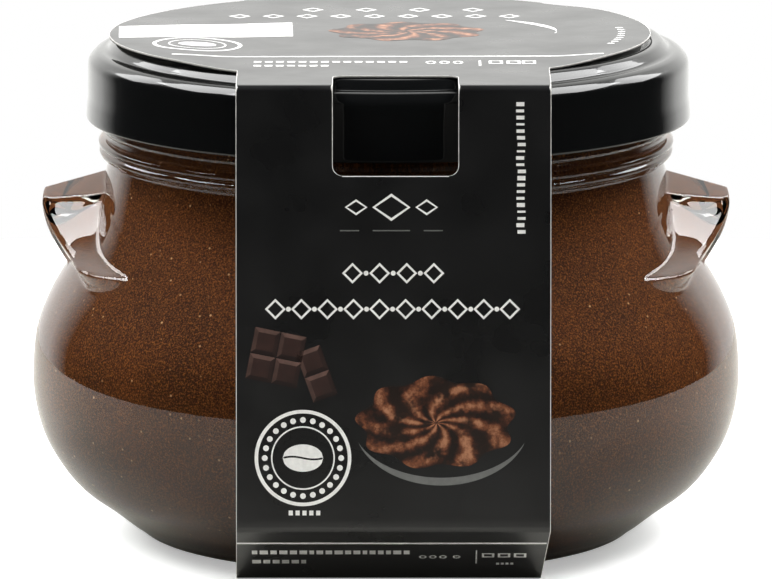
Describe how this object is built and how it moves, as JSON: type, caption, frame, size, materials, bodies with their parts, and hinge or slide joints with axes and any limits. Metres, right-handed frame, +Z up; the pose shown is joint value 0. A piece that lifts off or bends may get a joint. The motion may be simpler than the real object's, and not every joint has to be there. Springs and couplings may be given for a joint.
{
  "type": "jar of chocolate mousse",
  "caption": "Shut pot-bellied glass jar with two moulded ears, full of chocolate mousse, under a twist-off lid, in a card sleeve with a window.",
  "frame": {"origin": "on the surface that the jar stands on, at the middle of the object's box", "axes": "+Z up along the jar's axis, -Y towards the sleeve's printed front, +X towards one ear"},
  "size_m": [0.1222, 0.1272, 0.0866],
  "materials": {
    "glass": "clear pressed glass",
    "mousse": "aerated dark chocolate mousse with fine bubbles",
    "lid": "gloss black lacquer",
    "card": "printed black card with a satin varnish and a white core"
  },
  "bodies": {
    "root": {"glass_jar": "glass", "mousse": "mousse", "lid": "lid", "sleeve": "card"}
  },
  "joints": []
}
